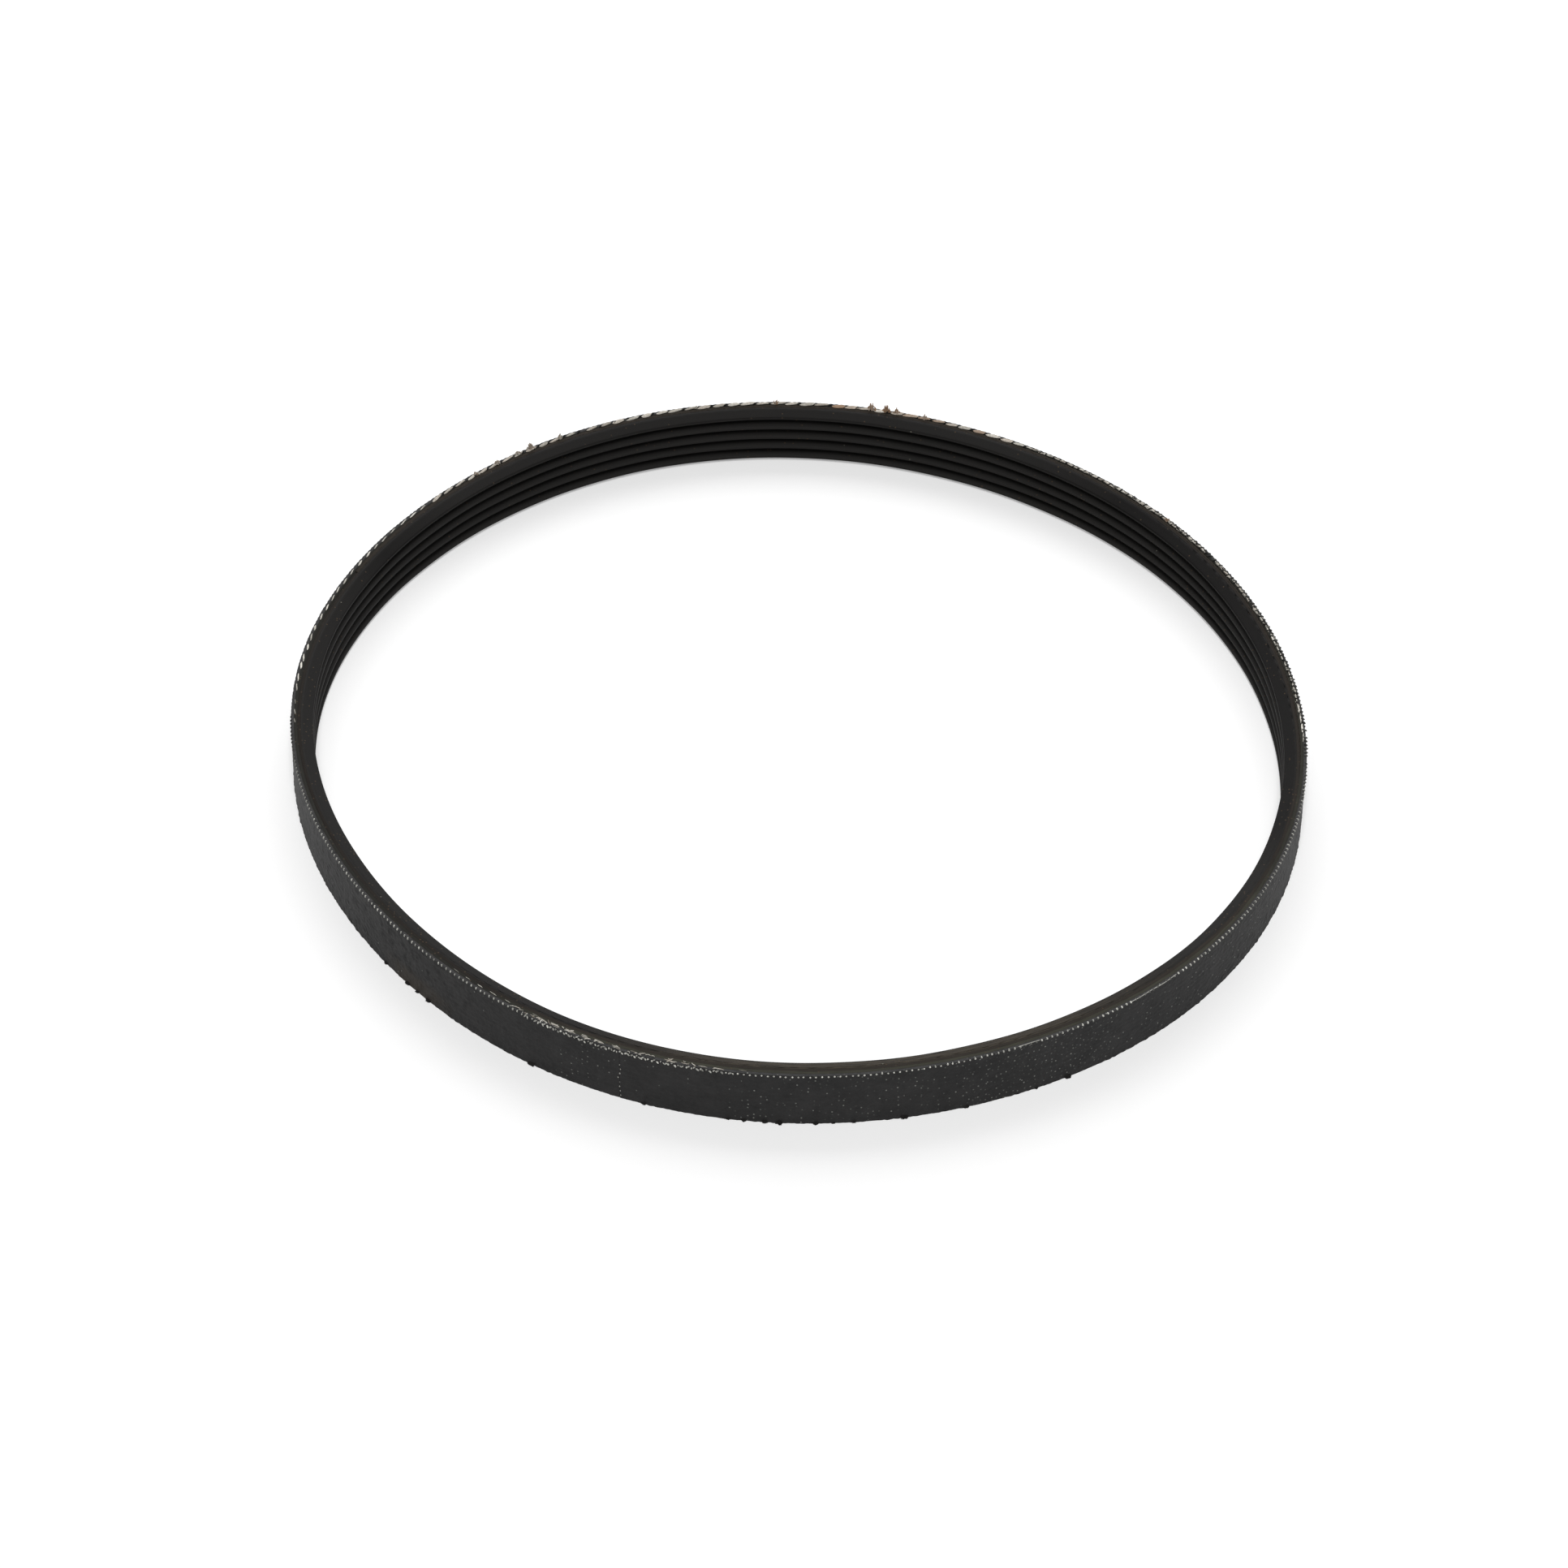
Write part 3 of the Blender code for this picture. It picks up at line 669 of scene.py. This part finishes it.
# Loose threads that lie along the corner and cover the yarn ends, as from and to degrees
THREADS = ((294.3, 296.8), (308.2, 314.8))
ball, ball_faces = round_block(1)
draw = np.random.default_rng(7)
ends = []
for yarn in range(YARN_COUNT):
    run = (yarn + 0.05 * draw.normal()) * YARN_PITCH
    degrees = float(np.degrees(angle_at(run)))
    bare = float(within(degrees, *BARE, 5))
    slipped, reach, thick, tone = (np.interp(degrees % 360, YARN_ENDS[:, 0], column)
                                   for column in YARN_ENDS.T[1:])
    tone *= draw.uniform(0.75, 1.35) * bare
    tone *= 1 - 0.8 * float(max(within(degrees, start, end, 0.4) for start, end in THREADS))
    thick *= draw.uniform(0.85, 1.1)
    reach *= draw.uniform(0.85, 1.15)
    if within(degrees, *JUMBLED) > draw.random():
        for side in (-1, 1):
            beside = run + 0.24 * side + 0.09 * draw.normal()
            down = max(slipped + 0.12 * side + 0.08 * draw.normal(), 0.0)
            stout = thick * draw.uniform(0.7, 1.2)
            peg = corner_peg(beside, down, 1.5 * reach, stout, 0.18 * side + 0.1 * draw.normal())
            ends.append((*peg, draw.uniform(0.6, 1.5), 0.0))
    elif within(degrees, *BENT) > 0:
        rung = corner_rung(run, 0.35 * reach, reach, thick, 0.04 * draw.normal())
        ends.append((*rung, tone, 0.0))
    elif within(degrees, *SLANTED) > 0:
        peg = corner_peg(run, slipped + 0.03 * draw.normal(), reach, thick, 0.03 * draw.normal())
        ends.append((*peg, tone, 0.0))
    elif within(degrees, *BLACKENED, 22) > draw.random():
        reach = 0.44 * draw.uniform(0.7, 1.2)
        thick = 0.36 * draw.uniform(0.8, 1.2)
        peg = corner_peg(run, 0.0, reach, thick, 0.05 * draw.normal())
        ends.append((*peg, draw.uniform(0.0, 0.25), 0.0))
    size = LOWER_END_SIZE * draw.uniform(0.6, 0.8)
    body = ball * size / 2 + (run, LOWER_END_DEPTH, size[2] / 2 + 0.01)
    ends.append((body, ball_faces, draw.uniform(0.4, 0.9), 0.0))
for step in range(SEAM_END_COUNT):
    body = ball * SEAM_END_SIZE / 2 * draw.uniform(0.7, 1.1)
    body = body + (SEAM_RUN + SEAM_GAP + 0.1 * draw.normal(), -0.02, (step + 0.6) * YARN_PITCH)
    ends.append((body, ball_faces, draw.uniform(0.4, 1.0), 0.0))

for start, end in THREADS:
    thread_runs = np.linspace(run_at(start), run_at(end), THREAD_STEPS)
    heights = np.full(THREAD_STEPS, BELT_WIDTH + 0.04)
    path = np.stack([thread_runs, 0.02 + 0.05 * np.sin(thread_runs), heights], 1)
    half = np.full(THREAD_STEPS, THREAD_RADIUS)
    ends.append((*fibre(path, half, half), 1.1, 0.0))
yarn_ends = scattered("cut_yarn_ends", ends, bare_yarn)
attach(yarn_ends, "root")

# Bared cord strands: along the upper edge the knife has opened the last turn of the tension cord, and
# its twisted strands rise out of the cut one after another, as a frayed rope or a row of cream dashes.

STRAND_PERIOD = CORD_LAY / STRAND_COUNT
STRAND_THICKNESS = 0.32

# Bare polyester filament: cream to pale grey, with darker lines between filaments, here and there
# stained brown.
bare_cord, tree, surface = start_material("bare_polyester_filament", 0.75, 1.35)
place = add_node(tree, "TexCoord").outputs["Object"]
tone = add_node(tree, "Attribute", attribute_name="tone").outputs["Fac"]
fibres = add_node(tree, "TexNoise", {"Vector": place, "Scale": 1 / (0.35 * MM), "Detail": 3.0})
lightness = add_node(tree, "Math", {0: tone, 1: fibres.outputs["Fac"]}, operation="MULTIPLY")
cream = add_node(tree, "Mix", {"Factor": lightness.outputs[0], 6: linear("#575349"), 7: linear("#f2eee4")},
                 data_type="RGBA")
stained = add_node(tree, "Attribute", attribute_name="stain").outputs["Fac"]
browned = add_node(tree, "Mix", {"Factor": stained, 6: cream.outputs[2], 7: linear("#8a6543")},
                   data_type="RGBA")
tree.links.new(browned.outputs[2], surface.inputs["Base Color"])

# Opened stretches of the upper edge: from and to degrees, then each strand's depth, length, width, rise
# above the cut, lean (how far it moves inwards along its length), share missing, stain and tone
OPENED = [(-3.0, 24.0, 0.42, 2.8, 0.40, 0.10, -0.08, 0.06, 0.00, 1.4),
          (24.0, 62.0, 0.34, 3.0, 0.46, 0.14, -0.08, 0.04, 0.08, 1.2),
          (62.0, 87.0, 0.45, 3.3, 0.85, 0.24, 0.10, 0.00, 0.40, 1.0),
          (87.0, 118.0, 0.45, 3.0, 0.85, 0.24, 0.15, 0.00, 0.10, 0.9),
          (118.0, 140.0, 0.45, 2.7, 0.75, 0.20, 0.17, 0.00, 0.12, 1.0),
          (140.0, 178.0, 0.44, 2.0, 0.36, 0.12, 0.13, 0.00, 0.03, 1.4),
          (178.0, 182.5, 0.58, 1.4, 0.22, 0.07, 0.10, 0.00, 0.00, 0.8),
          (229.0, 241.0, 0.82, 1.5, 0.18, 0.07, -0.12, 0.25, 0.00, 0.9),
          (241.0, 252.0, 0.52, 2.1, 0.30, 0.10, -0.20, 0.05, 0.05, 0.8),
          (241.0, 252.0, 0.30, 1.2, 0.20, 0.08, -0.12, 0.20, 0.00, 1.0),
          (252.0, 256.0, 0.46, 1.5, 0.20, 0.07, -0.15, 0.30, 0.10, 0.7),
          (256.0, 264.0, 0.38, 1.8, 0.28, 0.09, -0.15, 0.10, 0.10, 0.9),
          (264.0, 270.0, 0.60, 1.3, 0.15, 0.06, -0.15, 0.40, 0.10, 0.9)]
along = np.linspace(-1.0, 1.0, 11)
taper = np.clip(1.0 - np.abs(along) ** 2.4, 0.03, 1.0) ** 0.6
draw = np.random.default_rng(11)
strands = []
for start, end, depth, length, width, rise, lean, missing, stain, bright in OPENED:
    first = run_at(start)
    for step in range(round((end - start) / 360 * LOOP_RUN / STRAND_PERIOD)):
        if draw.random() < missing:
            continue
        long = length * draw.uniform(0.75, 1.12)
        run = first + (step + 0.5 + 0.07 * draw.normal()) * STRAND_PERIOD
        height = BELT_WIDTH + rise * draw.uniform(0.7, 1.2) * (1 - 0.7 * along ** 2)
        bend = depth + 0.04 * draw.normal() + lean * draw.uniform(0.6, 1.2) * long / 2 * along
        path = np.stack([run + along * long / 2, bend + 0.03 * np.sin(math.pi * along),
                         height - STRAND_THICKNESS / 2 * taper], 1)
        half_width = width * draw.uniform(0.6, 1.2) / 2 * taper
        strand = fibre(path, half_width, STRAND_THICKNESS / 2 * taper, 8)
        tone = bright * draw.uniform(0.65, 1.25)
        strands.append((*strand, tone, np.clip(stain * draw.uniform(0, 2), 0, 0.85)))

# Broken filaments where the cord has been pulled out, as from and to degrees, count, stretch and thickness
BROKEN = ((238.0, 262.0, 40, 1.6, 0.08), (2.0, 62.0, 150, 2.6, 0.05))
for start, end, count, stretch, thick in BROKEN:
    for _ in range(count):
        run = run_at(draw.uniform(start, end))
        half = stretch * draw.uniform(0.12, 0.36)
        lean = 0.13 * draw.normal()
        bow = 0.1 * draw.normal()
        path = np.stack([run + half * along, draw.uniform(0.1, 0.7) + lean * along + bow * along ** 2,
                         np.full(len(along), BELT_WIDTH + draw.uniform(0.0, 0.14))], 1)
        thin = thick * draw.uniform(0.6, 1.3) * (0.4 + 0.6 * taper)
        tone = draw.uniform(0.4, 1.3)
        strands.append((*fibre(path, thin, thin), tone, max(0.0, draw.uniform(-0.3, 0.3))))

# Tufts that stand out of the edge, as degrees, height, and stain
TUFTS = [(132.2, 0.7, 0.25), (129.0, 0.9, 0.3), (126.0, 0.9, 0.25), (124.2, 1.4, 0.35), (120.2, 0.8, 0.3),
         (103.0, 0.5, 0.1), (93.5, 0.7, 0.5), (82.0, 1.7, 0.85), (80.2, 1.6, 0.8), (79.0, 1.2, 0.7),
         (75.5, 0.8, 0.5), (40.5, 0.6, 0.7)]
FIBRES_PER_TUFT = 14
climb = np.linspace(0.0, 1.0, 6)
for degrees, tall, stain in TUFTS:
    for _ in range(FIBRES_PER_TUFT):
        aside = float(np.clip(0.4 * tall * draw.normal(), -0.8, 0.8))
        reach = tall * draw.uniform(0.6, 1.1) * (1 - 0.6 * abs(aside))
        start = np.array([run_at(degrees) + aside, draw.uniform(0.15, 0.65), BELT_WIDTH - 0.05])
        lean = np.array([0.15 * draw.normal() - 0.5 * aside, draw.uniform(-0.35, 0.15), 1.0]) * reach
        curl = 0.07 * np.sin(2.5 * climb) * draw.normal()
        path = start + climb[:, None] * lean + curl[:, None] * (1, 0.4, 0)
        thin = (0.2 - 0.14 * climb) * draw.uniform(0.8, 1.3)
        tone = draw.uniform(0.5, 1.3)
        strands.append((*fibre(path, thin, thin), tone, np.clip(stain + 0.15 * draw.normal(), 0, 0.9)))
bared_strands = scattered("bared_cord_strands", strands, bare_cord)
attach(bared_strands, "root")

# Rubber drops: rubber that was squeezed through the cloth and left by the knife, as nubs along the lower
# edge and as small teeth that lie across the bared strands.

# Nubs of the lower edge, as degrees and size
NUBS = [(217.7, 0.4), (221.9, 0.5), (223.6, 0.4), (225.5, 0.5), (240.7, 0.6), (254.2, 0.4), (263.3, 0.4),
        (265.0, 0.4), (267.2, 0.5), (268.7, 0.6), (272.5, 0.45), (274.4, 0.3), (276.5, 0.4), (281.9, 0.6),
        (288.6, 0.5), (296.6, 0.35), (300.4, 0.6)]
nub, nub_faces = round_block(3)
draw = np.random.default_rng(13)
drops = []
for degrees, size in NUBS:
    lumps = 1.0 + 0.22 * draw.normal(size=len(nub))
    body = nub * lumps[:, None] * (size * 1.1, size * 0.9, size * 0.5) + (run_at(degrees), 0.0, size * 0.35)
    body[:, 2] = np.maximum(body[:, 2], 0.01)
    drops.append((body, nub_faces, 0.0, 0.0))
# Stretches with teeth across the strands, as from and to degrees and the distance from tooth to tooth
TOOTHED = [(start, end, STRAND_PERIOD) for start, end, *_ in OPENED[2:5]] + [(4.0, 60.0, 1.5)]
for start, end, spacing in TOOTHED:
    first = run_at(start)
    for step in range(round((end - start) / 360 * LOOP_RUN / spacing)):
        run = first + (step + 0.1 * draw.normal()) * spacing
        path = np.stack([run + 0.17 * spacing * along, 0.42 + 0.36 * along,
                         BELT_WIDTH + 0.14 - 0.14 * along ** 2], 1)
        drops.append((*fibre(path, draw.uniform(0.06, 0.18) * taper, 0.12 * taper), 0.0, 0.0))
rubber_drops = scattered("rubber_drops", drops, rubber)
paint(rubber_drops, "chalk_and_shade", np.full(len(rubber_drops.data.vertices), 0.8))
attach(rubber_drops, "root")

# Floor and light: a plain white sheet between two soft boxes, with the camera of a catalogue picture.

FLOOR_REACH = 2.5
FLOOR_DROP = 0.02
FLOOR_GLOW = 0.325
ROOM_LIGHT = 0.25

floor_mesh = bpy.data.meshes.new("floor")
floor_corners = [(x * FLOOR_REACH, y * FLOOR_REACH, 0.0) for x, y in ((-1, -1), (1, -1), (1, 1), (-1, 1))]
floor_mesh.from_pydata(floor_corners, [], [(0, 1, 2, 3)])
floor = bpy.data.objects.new("floor", floor_mesh)
floor.location.z = -FLOOR_DROP * MM
bpy.context.scene.collection.objects.link(floor)
# White paper: matt, and brighter to the eye than the light it throws back, as an overexposed sheet is.
sheet = bpy.data.materials.new("white_paper_sheet")
sheet.use_nodes = True
tree = sheet.node_tree
tree.nodes.clear()
rays = add_node(tree, "LightPath")
shown = add_node(tree, "Math", {0: rays.outputs["Is Camera Ray"], 1: rays.outputs["Is Glossy Ray"]},
                 operation="MAXIMUM")
glow = add_node(tree, "Emission", {"Strength": FLOOR_GLOW})
dark = add_node(tree, "Emission", {"Strength": 0.0})
lifted = add_node(tree, "MixShader", {0: shown.outputs[0], 1: dark.outputs[0], 2: glow.outputs[0]})
paper = add_node(tree, "BsdfDiffuse", {"Color": linear("#e7e7e7")})
both = add_node(tree, "AddShader", {0: lifted.outputs[0], 1: paper.outputs[0]})
add_node(tree, "OutputMaterial", {"Surface": both.outputs[0]})
floor_mesh.materials.append(sheet)

# Studio room: a dim even light on the belt, and plain white where the camera or a gloss sees it
world = bpy.data.worlds.new("studio")
bpy.context.scene.world = world
world.use_nodes = True
tree = world.node_tree
tree.nodes.clear()
rays = add_node(tree, "LightPath")
seen = add_node(tree, "Math", {0: rays.outputs["Is Camera Ray"], 1: rays.outputs["Is Glossy Ray"]},
                operation="MAXIMUM")
shown = add_node(tree, "Math", {0: seen.outputs[0], 1: rays.outputs["Is Transmission Ray"]},
                 operation="MAXIMUM")
room = add_node(tree, "Background", {"Color": linear("#ffffff"), "Strength": ROOM_LIGHT})
white = add_node(tree, "Background", {"Color": linear("#ffffff"), "Strength": 1.0})
backdrop = add_node(tree, "MixShader", {0: shown.outputs[0], 1: room.outputs[0], 2: white.outputs[0]})
add_node(tree, "OutputWorld", {"Surface": backdrop.outputs[0]})

# Soft boxes, as a name, a place in metres, width, length and power in watts
for name, spot, width, length, power in (("front_softbox", (0.0, -1.19, 2.4), 0.53, 1.26, 34.0),
                                         ("back_softbox", (0.0, 0.647, 0.481), 1.04, 0.93, 5.7)):
    light = bpy.data.lights.new(name, "AREA")
    light.shape = "RECTANGLE"
    light.size = width
    light.size_y = length
    light.energy = power
    lamp = bpy.data.objects.new(name, light)
    lamp.location = spot
    lamp.rotation_euler = (-Vector(spot)).to_track_quat("-Z", "Y").to_euler()
    bpy.context.scene.collection.objects.link(lamp)

# The camera stands at the photograph's viewing angle; its lens and shift are in pixels of that frame
FRAME_SIZE = 1932
LENS_PIXELS = 7065.6
SHIFT_PIXELS = (-17.7, -25.5)
SENSOR_WIDTH = 36.0
CAMERA_ELEVATION = math.radians(41.19)
CAMERA_DISTANCE = 1.0546
CAMERA_ROLL = math.radians(1.09)
camera_data = bpy.data.cameras.new("camera")
camera_data.sensor_width = SENSOR_WIDTH
camera_data.lens = SENSOR_WIDTH * LENS_PIXELS / FRAME_SIZE
camera_data.shift_x = SHIFT_PIXELS[0] / FRAME_SIZE
camera_data.shift_y = SHIFT_PIXELS[1] / FRAME_SIZE
camera_data.clip_start = 0.05
camera = bpy.data.objects.new("camera", camera_data)
stand = Matrix.Translation((0.0, -CAMERA_DISTANCE * math.cos(CAMERA_ELEVATION),
                            CAMERA_DISTANCE * math.sin(CAMERA_ELEVATION)))
camera.matrix_world = (stand @ Matrix.Rotation(math.pi / 2 - CAMERA_ELEVATION, 4, "X")
                       @ Matrix.Rotation(CAMERA_ROLL, 4, "Z"))
bpy.context.scene.collection.objects.link(camera)
bpy.context.scene.camera = camera
bpy.context.scene.view_settings.view_transform = "Standard"
